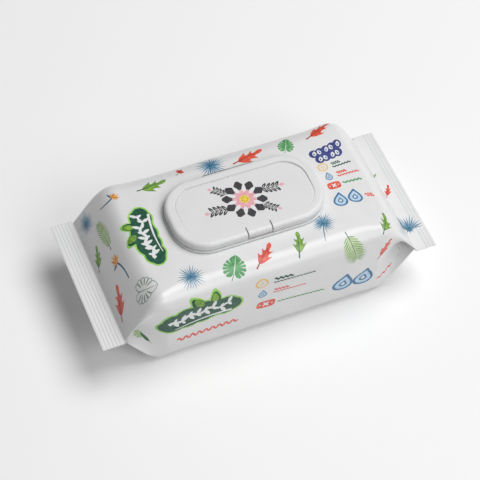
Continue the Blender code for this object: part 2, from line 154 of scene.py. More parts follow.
def smooth(value):
    value = np.clip(value, 0.0, 1.0)
    return value * value * (3.0 - 2.0 * value)


def rise(distance, middle, total, soft):
    """Height gained at a distance from the seal: straight, then easing into level at the total."""
    slope = total / middle
    bend = np.clip(distance - middle + soft, 0.0, 2.0 * soft)
    return slope * np.minimum(distance, middle + soft) - slope * bend ** 2 / (4.0 * soft)


def unit(vector):
    return vector / np.maximum(np.linalg.norm(vector, axis=-1, keepdims=True), 1e-9)


def round_corner(before, corner, after, reach, t):
    """Points at shares t of an arc that leaves both sides of a corner at the given reach."""
    side_in = unit(before - corner)
    side_out = unit(after - corner)
    cosine = np.sum(side_in * side_out, axis=-1)
    weight = np.sqrt(np.maximum(0.0, 0.5 * (1.0 - cosine)))
    shares = np.stack(((1.0 - t) ** 2, 2.0 * weight * t * (1.0 - t), t * t), axis=-1)
    start = corner + reach[:, None] * side_in
    end = corner + reach[:, None] * side_out
    total = start * shares[:, :1] + corner * shares[:, 1:2] + end * shares[:, 2:]
    return total / shares.sum(axis=-1, keepdims=True)


def end_slope(distance, total, tuck, crown_tuck, soft):
    """One half's height over the seal, its length for each unit of x, and its middle's extra height."""
    step = 0.5
    run = END_RUN - tuck
    height = rise(distance, run, total, soft)
    pitch = (rise(distance + step, run, total, soft) - height) / step
    crown = rise(distance, END_RUN - crown_tuck, total, soft) - height
    return height, np.sqrt(1.0 + pitch ** 2), crown


def body_section(distance, away, depth):
    """Points (y, z) of the wrap between its seals, depth inside its outer face."""
    top_total = BODY_HEIGHT - SEAL_Z - FILM
    bottom_total = SEAL_Z - FILM
    climb, top_lean, crown = end_slope(distance, top_total, TOP_TUCK, TOP_CROWN_TUCK, TOP_SOFT)
    fall, low_lean, belly = end_slope(distance, bottom_total, BOTTOM_TUCK, BOTTOM_CROWN_TUCK,
                                      BOTTOM_SOFT)
    top = SEAL_Z + FILM + climb - depth * top_lean
    bottom = SEAL_Z - FILM - fall + depth * low_lean
    spread = smooth(distance / WIDTH_RUN)
    half_y = mix(SEAL_HALF_Y, BODY_HALF_Y, spread) - depth
    notch = GUSSET_DEPTH * np.maximum(0.0, 1.0 - distance / GUSSET_RUN) ** GUSSET_POWER
    middle = 0.5 * (top + bottom)

    zero = np.zeros_like(top)
    upper = np.stack((half_y, top), axis=-1)
    tuck = np.stack((half_y - notch, middle), axis=-1)
    lower = np.stack((half_y, bottom), axis=-1)
    longest = 0.45 * np.linalg.norm(tuck - upper, axis=-1)
    fold_share = smooth(distance / GUSSET_RUN)
    rounding = smooth(distance / CORNER_RUN)
    top_reach = np.minimum(mix(REACH_AT_SEAL, TOP_CORNER, rounding) - 0.5 * depth, longest)
    bottom_reach = np.minimum(mix(REACH_AT_SEAL, BOTTOM_CORNER, rounding) - 0.5 * depth, longest)
    fold_reach = np.minimum(mix(REACH_AT_SEAL, FOLD_REACH, fold_share), longest)

    def local(start, end):
        return np.clip((away - start) / (end - start), 0.0, 1.0)

    t_top = local(TOP_FLAT, TOP_ARC_END)
    t_bottom = local(SIDE_END, BOTTOM_ARC_END)
    above = np.stack((zero, top), axis=-1)
    below = np.stack((zero, bottom), axis=-1)
    top_arc = round_corner(above, upper, tuck, top_reach, t_top)
    fold_arc = round_corner(upper, tuck, lower, fold_reach, local(FOLD_START, FOLD_END))
    bottom_arc = round_corner(tuck, lower, below, bottom_reach, t_bottom)

    top_level = np.stack(((half_y - top_reach) * away / TOP_FLAT, top), axis=-1)
    upper_wall = mix(top_arc, fold_arc, local(TOP_ARC_END, FOLD_START)[:, None])
    lower_wall = mix(fold_arc, bottom_arc, local(FOLD_END, SIDE_END)[:, None])
    inward = 1.0 - local(BOTTOM_ARC_END, HALF_ROUND)
    points = np.stack(((half_y - bottom_reach) * inward, bottom), axis=-1)
    runs = ((BOTTOM_ARC_END, bottom_arc), (SIDE_END, lower_wall), (FOLD_END, fold_arc),
            (FOLD_START, upper_wall), (TOP_ARC_END, top_arc), (TOP_FLAT, top_level))
    for end, values in runs:
        points = np.where((away <= end)[:, None], values, points)

    height = np.clip((points[:, 1] - bottom) / (top - bottom), 0.0, 1.0)
    outer = smooth((points[:, 0] / half_y - 0.78) / 0.1)
    points[:, 0] += outer * SIDE_BULGE * spread * 4.0 * height * (1.0 - height)
    arch = np.maximum(0.0, 1.0 - (points[:, 0] / half_y) ** 2)
    points[:, 1] += np.where(away < FOLD_START, crown * arch * (1.0 - t_top), 0.0)
    points[:, 1] -= np.where(away > FOLD_END, belly * arch * t_bottom, 0.0)
    return points


def fin_section(x, away):
    """Points (y, z) of the crimped fins beyond the seals."""
    top_edge = 0.5 * (TOP_FLAT + TOP_ARC_END)
    bottom_edge = 0.5 * (SIDE_END + BOTTOM_ARC_END)
    inner_y = SEAL_HALF_Y - REACH_AT_SEAL
    turns = (0.0, TOP_FLAT, top_edge, bottom_edge, BOTTOM_ARC_END, HALF_ROUND)
    y = np.interp(away, turns, (0.0, inner_y, SEAL_HALF_Y, SEAL_HALF_Y, inner_y, 0.0))
    z = np.interp(away, (top_edge, bottom_edge), (SEAL_Z + FILM, SEAL_Z - FILM))
    reach = np.abs(x) - SEAL_HALF_X
    crimps = ((-1, LEFT_PLAIN, LEFT_RIBS, LEFT_RIB_LIFT), (1, RIGHT_PLAIN, RIGHT_RIBS, RIGHT_RIB_LIFT))
    for side, plain, ribs, height in crimps:
        turn = np.clip((reach - plain) / (FIN_LENGTH - plain), 0.0, 1.0) * ribs
        lift = 0.5 * height * (1.0 - np.cos(2.0 * math.pi * turn))
        z = z + np.where(x * side > 0.0, lift, 0.0)
    return np.stack((y, z), axis=-1)


def flat_point(x, s, depth=0.0):
    """Places of film coordinates on the unwrinkled wrap, depth inside its outer face."""
    x = np.asarray(x, float)
    s = np.asarray(s, float)
    away = np.minimum(np.abs(s), HALF_ROUND)
    distance = SEAL_HALF_X - np.abs(x)
    section = body_section(np.maximum(distance, 0.0), away, depth)
    section = np.where((distance < -1e-4)[:, None], fin_section(x, away), section)
    return np.stack((x, np.sign(s) * section[:, 0], section[:, 1]), axis=-1)


def slopes(point, x, s, step=0.12):
    """How a place moves with x and with s."""
    x_low = np.maximum(x - step, -FIN_END)
    x_high = np.minimum(x + step, FIN_END)
    s_low = np.maximum(s - step, -HALF_ROUND)
    s_high = np.minimum(s + step, HALF_ROUND)
    along = (point(x_high, s) - point(x_low, s)) / (x_high - x_low)[:, None]
    around = (point(x, s_high) - point(x, s_low)) / (s_high - s_low)[:, None]
    return along, around


def facing(point, x, s):
    """Which way the wrap faces at film coordinates."""
    along, around = slopes(point, x, s)
    return unit(np.cross(along, around))


def wrinkles(x, s, place):
    """Height of the film's creases and soft waves over its plain form."""
    distance = SEAL_HALF_X - np.abs(x)
    away = np.abs(s)
    y = place[:, 1]
    z = place[:, 2]
    side = np.sign(x)
    level = away < TOP_ARC_END
    inner = smooth((SEAL_HALF_Y - 3.0 - np.abs(y)) / 8.0)

    gathers = np.sin(y / 1.9 + 1.3 * np.sin(y / 6.1 + side) + 0.8 * side)
    gathers += 0.6 * np.sin(y / 3.3 + 2.1 * side)
    fade = smooth(distance / 2.0) * np.exp(-np.maximum(distance, 0.0) / 6.5)
    height = GATHER_LIFT * gathers * fade * inner * (distance > 0.0)

    lid_x = smooth((np.abs(x - LID_X) - LID_HALF_X - 2.0) / 9.0)
    lid_y = smooth((np.abs(y - LID_Y) - LID_HALF_Y - 1.0) / 8.0)
    free = np.where(level, np.maximum(lid_x, lid_y), 1.0) * smooth((distance - 6.0) / 14.0)
    free = free * smooth((SIDE_END - away) / 10.0)
    waves = np.sin(x / 9.0 + 0.9 * np.sin(s / 13.0)) * np.sin(s / 11.0 + 0.7 * np.sin(x / 15.0))
    waves += 0.6 * np.sin(x / 16.0 - s / 8.5 + 1.0)
    height += WAVE_LIFT * waves * free

    walls = (away > TOP_ARC_END - 4.0) & (away < SIDE_END + 4.0)
    reach_x = distance - GUSSET_RUN + 2.0
    reach_z = z - SEAL_Z
    radius = np.hypot(reach_x, reach_z)
    angle = np.arctan2(reach_z, np.maximum(reach_x, 0.1))
    folds = np.cos(6.5 * angle + 0.6 * side) * np.exp(-((radius - 11.0) / 9.0) ** 2)
    folds = GUSSET_FOLD_LIFT * folds * smooth(reach_x / 6.0) * smooth((radius - 2.0) / 5.0)
    height += np.where(walls, folds, 0.0)

    under = smooth((s - HALF_ROUND + SEAM_Y + SEAM_GROOVE) / 0.5)
    under = under * smooth((HALF_ROUND - SEAM_Y - s) / 0.5)
    height -= SEAM_LIFT * under * smooth((distance - WIDTH_RUN) / WIDTH_RUN)
    return height


def film_point(x, s):
    """Places of film coordinates on the wrinkled outer face."""
    x = np.asarray(x, float)
    s = np.asarray(s, float)
    place = flat_point(x, s)
    return place + facing(flat_point, x, s) * wrinkles(x, s, place)[:, None]


# Simple outlines for the print, in mm with the tip or top towards +b

def soften(points, rounds=1):
    """Cut the corners of a closed outline, which rounds it."""
    points = np.asarray(points, float)
    for _ in range(rounds):
        following = np.roll(points, -1, axis=0)
        cut = np.stack((mix(points, following, 0.25), mix(points, following, 0.75)), axis=1)
        points = cut.reshape(-1, 2)
    return points


def mirrored(half):
    """Whole outline from its right half, listed from the bottom to the tip."""
    half = np.asarray(half, float)
    left = half[::-1] * (-1.0, 1.0)
    keep = np.abs(left[:, 0]) > 1e-6
    return np.concatenate((half, left[keep]))


def ribbon(line, width, end_width=None):
    """Outline of a line drawn with a pen, as wide as given at its start and its end."""
    line = np.asarray(line, float)
    heading = unit(np.gradient(line, axis=0))
    side = np.stack((-heading[:, 1], heading[:, 0]), axis=-1)
    last = width if end_width is None else end_width
    half = 0.5 * np.linspace(width, last, len(line))[:, None]
    return np.concatenate((line - side * half, (line + side * half)[::-1]))


def curve(start, bend, end, count=9):
    """Points of a line that leaves for the bend and arrives from it."""
    t = np.linspace(0.0, 1.0, count)[:, None]
    start, bend, end = (np.asarray(point, float) for point in (start, bend, end))
    return (1.0 - t) ** 2 * start + 2.0 * t * (1.0 - t) * bend + t * t * end


def disc(middle, radius, count=20, squash=1.0):
    angle = np.linspace(0.0, 2.0 * math.pi, count, endpoint=False)
    round_points = np.stack((np.cos(angle), squash * np.sin(angle)), axis=-1)
    return np.asarray(middle, float) + radius * round_points


def turned(points, angle, shift=(0.0, 0.0)):
    """Points turned by radians, then shifted."""
    c, s = math.cos(angle), math.sin(angle)
    return np.asarray(points, float) @ np.array(((c, s), (-s, c))) + np.asarray(shift, float)


def blade(length, width):
    """Pointed leaf shape from its foot at 0, 0 to its tip."""
    half = [(0.0, 0.0), (0.3 * width, 0.16 * length), (0.5 * width, 0.42 * length),
            (0.36 * width, 0.74 * length), (0.0, length)]
    return soften(mirrored(half))


def moved(parts, angle=0.0, shift=(0.0, 0.0)):
    """Inked parts turned by degrees, then shifted."""
    return [(ink, turned(points, math.radians(angle), shift)) for ink, points in parts]


def petal(ink, length, width, angle=0.0, foot=(0.0, 0.0)):
    """One inked blade, turned by degrees about its foot."""
    return moved([(ink, blade(length, width))], angle, foot)


def lobed_leaf(size, body, shade, vein):
    """Leaf with pointed lobes and a narrow top; its stem starts at 0, 0 and its tip is size away."""
    stem = 0.17 * size
    leaf = size - stem
    lobes = [(0.0, 0.0), (0.05, 0.03), (0.13, 0.12), (0.19, 0.25), (0.29, 0.46), (0.17, 0.36),
             (0.12, 0.40), (0.12, 0.47), (0.23, 0.70), (0.10, 0.60), (0.06, 0.66), (0.08, 0.78),
             (0.085, 0.90), (0.035, 0.99), (0.0, 1.0)]
    shaded = [(0.0, 0.02), (0.10, 0.12), (0.14, 0.26), (0.04, 0.36), (0.045, 0.62),
              (0.05, 0.86), (0.0, 0.97)]

    def bent(outline):
        points = soften(outline) * leaf
        points[:, 0] += 0.06 * leaf * np.sin(2.6 * points[:, 1] / leaf)
        points[:, 1] += stem
        return points

    spine = curve((-0.02 * size, 0.0), (0.0, 0.4 * size), (0.06 * leaf, 0.86 * size))
    return [(body, bent(mirrored(lobes))), (shade, bent(shaded)),
            (vein, ribbon(spine, 0.045 * size, 0.012 * size))]


MONSTERA_SLOTS = [math.radians(34.0 + 25.0 * i) for i in range(5)]


def monstera_outline(length, slot_half=0.055, slot_depth=0.50):
    """Heart-shaped leaf with slots between its lobes, from its foot at 0, 0 to its tip."""
    angles = np.radians((0.0, 20.0, 45.0, 70.0, 95.0, 120.0, 145.0, 165.0, 180.0))
    reach = np.array((0.66, 0.53, 0.48, 0.47, 0.48, 0.50, 0.50, 0.42, 0.22)) * length
    middle = np.array((0.0, 0.34 * length))

    def at(angle, share=1.0):
        radius = share * np.interp(angle, angles, reach)
        return middle + radius * np.array((math.sin(angle), math.cos(angle)))

    half = [at(math.pi), at(math.radians(166.0))]
    ends = [math.radians(160.0)] + MONSTERA_SLOTS[::-1] + [0.0]
    for start, end in zip(ends, ends[1:]):
        low = start - (slot_half if start in MONSTERA_SLOTS else 0.0)
        high = end + (slot_half if end in MONSTERA_SLOTS else 0.0)
        half += [at(low, 0.98), at(0.5 * (low + high), 1.03)]
        if end in MONSTERA_SLOTS:
            half += [at(high, 0.98), at(end, slot_depth)]
    half.append(at(0.0))
    return mirrored(half)


def monstera(length, body, vein):
    spine = curve((0.0, 0.06 * length), (0.02 * length, 0.5 * length), (0.0, 0.97 * length))
    stem = curve((-0.05 * length, -0.22 * length), (0.0, 0.0), (0.0, 0.2 * length))
    return [(body, ribbon(stem, 0.035 * length)), (body, monstera_outline(length)),
            (vein, ribbon(spine, 0.045 * length, 0.012 * length))]


def pen_outline(points, width, ink):
    """A closed outline drawn with a thin pen, one small piece for each of its sides."""
    parts = []
    following = np.roll(points, -1, axis=0)
    for first, second in zip(points, following):
        if np.linalg.norm(second - first) > 1e-6:
            overlap = 0.3 * width * unit(second - first)
            parts.append((ink, ribbon((first - overlap, second + overlap), width)))
    return parts


def drawn_monstera(length, ink):
    """Monstera leaf drawn only as lines."""
    parts = pen_outline(monstera_outline(length, 0.05, 0.4), 0.34, ink)
    spine = curve((0.0, 0.05 * length), (0.04 * length, 0.5 * length), (0.0, 0.94 * length))
    parts.append((ink, ribbon(spine, 0.42, 0.25)))
    return parts


def fan_palm(radius, bright, dark, spread=360.0, stem_share=0.0, stem_turn=0.0, count=25):
    """Round spiky palm leaf of needles about 0, 0; a stem is so many times as long as its radius."""
    parts = []
    half = 0.038 * radius
    for i in range(count):
        share = (i + 0.5) / count - 0.5
        length = radius * (0.80 + 0.20 * math.sin(2.3 * i + 0.4) ** 2)
        needle = [(-0.6 * half, 0.04 * radius), (-half, 0.5 * length), (0.0, length),
                  (half, 0.5 * length), (0.6 * half, 0.04 * radius)]
        parts += moved([(dark if i % 3 == 1 else bright, needle)], -spread * share)
    parts.append((bright, disc((0.0, 0.0), 0.20 * radius, 14)))
    mark = [(-0.035 * radius, 0.03 * radius), (0.0, 0.40 * radius), (0.035 * radius, 0.03 * radius)]
    for i in range(9):
        parts += moved([(dark, mark)], -(360.0 * i / 9.0 + 11.0))
    if stem_share:
        stem = stem_share * radius
        line = curve((0.0, 0.0), (0.05 * radius, -0.6 * stem), (0.14 * stem, -stem))
        parts += moved([(dark, ribbon(line, 0.09 * radius, 0.04 * radius))], stem_turn)
    return parts


def feather_palm(size, pale, strong, dark, plump=0.44):
    """Oval feather of slanted leaflets; its stem starts at 0, 0 and its tip is size away."""
    stem = 0.14 * size
    leaf = size - stem
    oval = [(0.0, 0.0), (0.30, 0.10), (0.47, 0.32), (0.48, 0.58), (0.33, 0.84), (0.0, 1.0)]
    shape = soften(mirrored(oval), 2) * (plump * leaf, leaf) + (0.0, stem)
    parts = [(pale, shape)]
    pairs = 13
    half_pitch = 0.43 * leaf / pairs
    for i in range(pairs):
        share = i / (pairs - 1)
        foot = stem + (0.01 + 0.86 * share) * leaf
        reach = plump * leaf * (0.20 + 0.62 * math.sin(math.pi * (0.12 + 0.76 * share)))
        for side in (-1.0, 1.0):
            angle = math.radians(side * (62.0 - 30.0 * share))
            out = 0.62 * reach * np.array((math.sin(angle), math.cos(angle)))
            parts.append((strong, turned(blade(reach, 0.028 * leaf), -angle, (0.0, foot))))
            gap = turned(blade(0.45 * reach, 0.024 * leaf), -angle, (0.0, foot + half_pitch))
            parts.append((BARE, gap + out))
    spine = curve((-0.03 * size, 0.0), (0.0, 0.3 * size), (0.0, 0.96 * size))
    parts.append((dark, ribbon(spine, 0.030 * size, 0.010 * size)))
    return parts


def paradise_flower(size, bright, deep, stem):
    """Fan of pointed petals; its bent stem starts at 0, 0 and its head is size away."""
    head = (0.0, size)
    line = curve((0.0, 0.0), (0.16 * size, 0.62 * size), head)
    parts = [(stem, ribbon(line, 0.06 * size, 0.09 * size))]
    parts += petal(stem, 0.42 * size, 0.12 * size, 96.0, head)
    petals = ((62.0, 0.34), (34.0, 0.46), (8.0, 0.54), (-18.0, 0.46), (-46.0, 0.36))
    for i, (angle, reach) in enumerate(petals):
        parts += petal(deep if i % 2 else bright, reach * size, 0.13 * size, angle, head)
    return parts


def small_flower(size, bright, deep, stem):
    """Cup of three petals; its short stem starts at 0, 0 and its top is size away."""
    foot = (0.0, 0.42 * size)
    parts = [(stem, ribbon(curve((0.0, 0.0), (0.05 * size, 0.2 * size), foot), 0.08 * size))]
    for angle, ink in ((42.0, bright), (-42.0, bright), (0.0, deep)):
        parts += petal(ink, 0.6 * size, 0.34 * size, angle, foot)
    return parts


def small_leaf(size, body, vein):
    spine = curve((0.0, 0.0), (0.03 * size, 0.4 * size), (0.0, 0.9 * size))
    leaf = petal(body, 0.86 * size, 0.40 * size, 0.0, (0.0, 0.14 * size))
    return leaf + [(vein, ribbon(spine, 0.05 * size, 0.015 * size))]


def sprig(size, leaf, stem):
    """Two narrow leaves that part from one foot."""
    leaves = petal(leaf, size, 0.13 * size, 58.0) + petal(leaf, 0.62 * size, 0.11 * size, -62.0)
    return leaves + petal(stem, 0.4 * size, 0.06 * size, 40.0)


def wave_line(length, ink, width, height, beats):
    """Low wavy line along +a, centred on its place."""
    a = np.linspace(-0.5 * length, 0.5 * length, 8 * beats + 1)
    b = height * np.sin(2.0 * math.pi * beats * (a / length + 0.5))
    return [(ink, ribbon(np.stack((a, b), axis=-1), width))]


def wave_pair(length, ink):
    """A short bold wave over a long thin one."""
    bold = moved(wave_line(0.44 * length, ink, 1.25, 0.6, 4), 0.0, (-0.26 * length, 1.5))
    return bold + moved(wave_line(length, ink, 0.85, 0.42, round(length / 2.2)), 0.0, (0.0, -1.2))


def lozenge(half_a, half_b):
    """Oval outline with full corners."""
    power = 4.0
    angle = np.linspace(0.0, 2.0 * math.pi, 32, endpoint=False)
    c, s = np.cos(angle), np.sin(angle)
    radius = (np.abs(c) ** power + np.abs(s) ** power) ** (-1.0 / power)
    return np.stack((half_a * radius * c, half_b * radius * s), axis=-1)


# Half widths of the badge along its length, as shares of its length
BADGE_SWELLS = (0.10, 0.15, 0.145, 0.18, 0.165, 0.19, 0.165, 0.15, 0.155, 0.105)


def badge(length, rim, field, white, leaf, young):
    """Dark wavy field with a bright rim, a white vine, a sweep below and two leaves on its edge."""
    parts = []
    count = len(BADGE_SWELLS)

    def spine_at(share):
        a = (share - 0.5) * 0.80 * length
        return np.array((a, 0.05 * length * math.sin(3.6 * share - 0.3)))

    leaves = ((0.58, 34.0, 0.24), (0.74, -8.0, 0.21))
    for ink, grow in ((rim, 0.024 * length), (field, 0.0)):
        for i, swell in enumerate(BADGE_SWELLS):
            parts.append((ink, disc(spine_at(i / (count - 1)), swell * length + grow, 22)))
        for share, angle, reach in leaves:
            foot = spine_at(share) + (0.0, 0.08 * length)
            size = reach * length + 1.6 * grow
            parts += petal(ink, size, 0.62 * size, angle, foot)
    for (share, angle, reach), ink in zip(leaves, (leaf, young)):
        foot = spine_at(share) + (0.0, 0.11 * length)
        parts += petal(ink, 0.78 * reach * length, 0.42 * reach * length, angle, foot)
    shares = np.linspace(0.03, 0.97, 25)
    spine = np.array([spine_at(share) for share in shares])
    vine = spine.copy()
    vine[:, 1] += 0.012 * length + 0.030 * length * np.sin(2.0 * math.pi * 3.5 * shares)
    parts.append((white, ribbon(vine, 0.052 * length, 0.034 * length)))
    for i in range(2, 24, 3):
        reach = length * (0.145 + 0.02 * math.sin(2.1 * i))
        side = 1.0 if i % 2 else -1.0
        parts += petal(white, reach, 0.42 * reach, -90.0 + side * 66.0, vine[i])
        parts += petal(white, 0.6 * reach, 0.30 * reach, -90.0 - side * 58.0, vine[i])
    sweep = spine.copy()
    sweep[:, 1] -= 0.105 * length + 0.025 * length * np.sin(3.0 * shares)
    parts.append((white, ribbon(sweep[2:], 0.010 * length, 0.038 * length)))
    return parts


def buds(width, field, white):
    """Two rows of white buds on a dark wavy ground."""
    pitch = width / 5.4
    rows = ((0.62, 5), (-0.62, 4))
    places = [(i, i - 0.5 * (number - 1), row) for row, number in rows for i in range(number)]
    parts = [(field, disc((a * pitch, row * pitch), 0.72 * pitch, 18)) for _, a, row in places]
    for i, a, row in places:
        foot = np.array((a * pitch, (row - 0.46) * pitch))
        lean = 14.0 if i % 2 else -14.0
        parts += petal(white, 0.96 * pitch, 0.66 * pitch, lean, foot)
        parts += petal(field, 0.5 * pitch, 0.2 * pitch, lean, foot + (0.0, 0.18 * pitch))
    return parts


def ring_sun(radius, ink, middle):
    """Flat ring about a star of six rays."""
    squash = 0.86
    parts = [(ink, disc((0.0, 0.0), radius, 24, squash)),
             (middle, disc((0.0, 0.0), 0.74 * radius, 22, squash))]
    ray = [(-0.09 * radius, 0.14 * radius), (0.0, 0.56 * radius), (0.09 * radius, 0.14 * radius)]
    for i in range(6):
        parts += moved([(ink, ray)], 60.0 * i)
    return parts


def drop(size, line, inside, lean=0.0, squat=1.0):
    """Drop drawn as a line around a pale middle."""
    half = [(0.0, -0.5), (0.26, -0.42), (0.40, -0.16), (0.30, 0.12), (0.12, 0.36), (0.0, 0.56)]
    outer = soften(mirrored(half), 2) * (size * squat, size)
    parts = [(line, outer), (inside, outer * 0.74 + (0.0, -0.03 * size)),
             (line, outer * 0.38 + (0.0, -0.06 * size)), (BARE, outer * 0.20 + (0.0, -0.07 * size))]
    return moved(parts, lean)


def red_tile(width, red, white):
    """Rounded tile with a four-petalled flower and two dots."""
    parts = [(red, lozenge(0.5 * width, 0.30 * width))]
    for i in range(4):
        parts += petal(white, 0.22 * width, 0.13 * width, 45.0 + 90.0 * i)
    for side in (-1.0, 1.0):
        parts.append((white, disc((0.33 * width * side, 0.0), 0.05 * width, 10)))
    return parts


# Light and dark tone of each ink, and the inks' numbers, where 0 is the bare film
TONES = {
    "leaf": ((128, 168, 62), (92, 140, 52)),
    "deep": ((58, 112, 74), (34, 82, 56)),
    "pale": ((216, 228, 198), (192, 214, 170)),
    "mint": ((98, 172, 108), (72, 146, 86)),
    "red": ((234, 100, 74), (214, 72, 54)),
    "crimson": ((190, 62, 50), (160, 46, 42)),
    "blue": ((112, 160, 188), (78, 132, 166)),
    "teal": ((62, 116, 142), (44, 92, 120)),
    "orange": ((228, 140, 60), (208, 112, 44)),
    "amber": ((242, 190, 108), (232, 164, 80)),
    "navy": ((54, 70, 142), (40, 52, 118)),
    "line_blue": ((66, 128, 172), (46, 100, 146)),
    "sky": ((196, 220, 238), (176, 208, 232)),
    "yellow": ((240, 202, 118), (228, 182, 88)),
    "rim": ((172, 222, 112), (134, 200, 84)),
    "field": ((24, 94, 68), (14, 70, 50)),
    "white": ((236, 238, 238), (228, 230, 232)),
    "young": ((150, 190, 74), (116, 164, 58)),
}
(BARE, LEAF, DEEP, PALE, MINT, RED, CRIMSON, BLUE, TEAL, ORANGE, AMBER,
 NAVY, LINE_BLUE, SKY, YELLOW, RIM, FIELD, WHITE, YOUNG) = range(len(TONES) + 1)

# Motifs in their inks, each a function of its size
green_lobed = partial(lobed_leaf, body=LEAF, shade=YOUNG, vein=DEEP)
red_lobed = partial(lobed_leaf, body=RED, shade=RED, vein=CRIMSON)
green_monstera = partial(monstera, body=MINT, vein=BARE)
line_monstera = partial(drawn_monstera, ink=DEEP)
blue_palm = partial(fan_palm, bright=BLUE, dark=TEAL)
stalked_palm = partial(blue_palm, spread=330.0, stem_share=1.5)
open_palm = partial(blue_palm, spread=165.0, stem_share=0.8, stem_turn=-100.0, count=12)
green_feather = partial(feather_palm, pale=PALE, strong=LEAF, dark=DEEP)
plump_feather = partial(green_feather, plump=0.68)
orange_flower = partial(paradise_flower, bright=AMBER, deep=ORANGE, stem=TEAL)
red_flower = partial(small_flower, bright=RED, deep=CRIMSON, stem=LEAF)
dark_leaf = partial(small_leaf, body=DEEP, vein=MINT)
green_sprig = partial(sprig, leaf=LEAF, stem=DEEP)
leafy_badge = partial(badge, rim=RIM, field=FIELD, white=WHITE, leaf=LEAF, young=YOUNG)
navy_buds = partial(buds, field=NAVY, white=WHITE)
yellow_sun = partial(ring_sun, ink=YELLOW, middle=BARE)
blue_drop = partial(drop, line=LINE_BLUE, inside=SKY)
leaning_drop = partial(blue_drop, lean=-12.0, squat=1.15)
red_square = partial(red_tile, red=RED, white=WHITE)
dark_waves = partial(wave_pair, ink=FIELD)
red_waves = partial(wave_pair, ink=RED)
red_wave = partial(wave_line, ink=RED, width=1.2, height=1.1, beats=3)
bold_red_wave = partial(wave_line, ink=RED, width=1.5, height=1.8, beats=9)


def green_wave(size):
    return wave_line(size, MINT, 1.1, 0.5, round(size / 2.8))


# Print layout: the motif, its size, its place and its turn in degrees, anticlockwise as it is looked
# at. On the top and the bottom a place is x and y, and on the sides it is x and z
TOP_PRINT = (
    (leafy_badge, 44.0, -66.4, 1.0, 88.0),
    (orange_flower, 11.0, -86.0, 35.0, -70.0),
    (orange_flower, 15.0, -87.0, -19.0, 14.0),
    (green_lobed, 20.5, -61.0, 35.4, -80.0),
    (green_lobed, 18.0, -98.0, 2.8, -23.0),
    (red_flower, 7.0, -33.5, 39.0, -55.0),
    (blue_palm, 11.5, -9.5, 39.0, 0.0),
    (blue_palm, 10.0, -94.5, 37.5, 0.0),
    (blue_palm, 10.0, -53.0, -36.6, 0.0),
    (stalked_palm, 9.0, 40.0, -27.4, -25.0),
    (red_lobed, 23.0, 4.6, 34.6, -73.0),
    (red_lobed, 22.0, 57.4, 37.0, -69.0),
    (red_lobed, 24.0, -97.4, -37.0, -20.0),
    (red_lobed, 21.5, -11.8, -44.0, -40.0),
    (green_monstera, 11.0, 40.8, 33.5, -24.0),
    (green_monstera, 15.5, -27.5, -43.5, -24.0),
    (line_monstera, 15.5, -86.0, -31.5, -115.0),
    (green_lobed, 20.0, 16.6, -45.0, -13.0),
    (green_lobed, 16.0, 73.5, -47.0, -23.0),
    (green_feather, 24.0, -88.8, 6.0, 5.0),
    (plump_feather, 22.5, 49.5, -38.5, -165.0),
    (open_palm, 12.0, 103.6, -32.0, -20.0),
    (red_lobed, 11.0, 100.8, -4.4, -26.0),
    (green_sprig, 13.0, 98.4, 11.6, 12.0),
    (navy_buds, 24.0, 65.6, 22.6, 0.0),
    (yellow_sun, 3.6, 58.0, 12.8, 0.0),
    (dark_waves, 13.0, 70.6, 12.4, -2.0),
    (blue_drop, 6.4, 58.6, 5.0, 0.0),
    (red_waves, 15.0, 71.8, 4.6, -2.0),
    (red_square, 9.0, 59.0, -2.8, 0.0),
    (green_wave, 13.0, 71.6, -2.8, -2.0),
    (leaning_drop, 11.0, 58.0, -14.2, 0.0),
    (leaning_drop, 11.0, 68.0, -14.6, 0.0),
    (red_wave, 5.5, 77.6, -17.0, 0.0),
)
NEAR_PRINT = (
    (leafy_badge, 55.0, -51.4, 41.0, 6.0),
    (bold_red_wave, 41.0, -45.4, 20.6, 2.0),
    (plump_feather, 10.0, -92.0, 27.0, -50.0),
    (dark_leaf, 9.5, -81.8, 19.5, 54.0),
    (yellow_sun, 4.4, -10.4, 53.6, 0.0),
    (blue_drop, 8.0, -9.4, 42.6, 0.0),
    (red_square, 13.0, -6.2, 29.5, -6.0),
    (dark_waves, 29.0, 12.0, 52.0, -4.0),
    (red_waves, 23.0, 9.4, 41.0, -5.0),
    (green_wave, 33.0, 18.4, 26.4, -5.0),
    (leaning_drop, 17.5, 48.5, 25.5, 0.0),
    (leaning_drop, 17.5, 63.0, 25.0, 0.0),
    (red_wave, 14.0, 80.0, 17.0, 4.0),
    (red_lobed, 16.5, 71.0, 40.5, -27.0),
    (dark_leaf, 10.5, 90.5, 24.5, -56.0),
)
FAR_PRINT = (
    (leafy_badge, 55.0, 44.0, 40.0, 4.0),
    (bold_red_wave, 41.0, 40.0, 19.0, 2.0),
    (green_lobed, 20.0, 4.0, 16.0, 14.0),
    (blue_palm, 8.5, -18.0, 42.0, 0.0),
    (red_lobed, 21.0, -34.0, 14.0, -16.0),
    (green_monstera, 15.5, -54.0, 26.0, 12.0),
    (stalked_palm, 7.5, -72.0, 44.0, 10.0),
    (green_feather, 18.0, -80.0, 14.0, -20.0),
    (orange_flower, 12.0, 78.0, 22.0, -20.0),
    (dark_leaf, 9.0, -14.0, 16.0, 50.0),
)
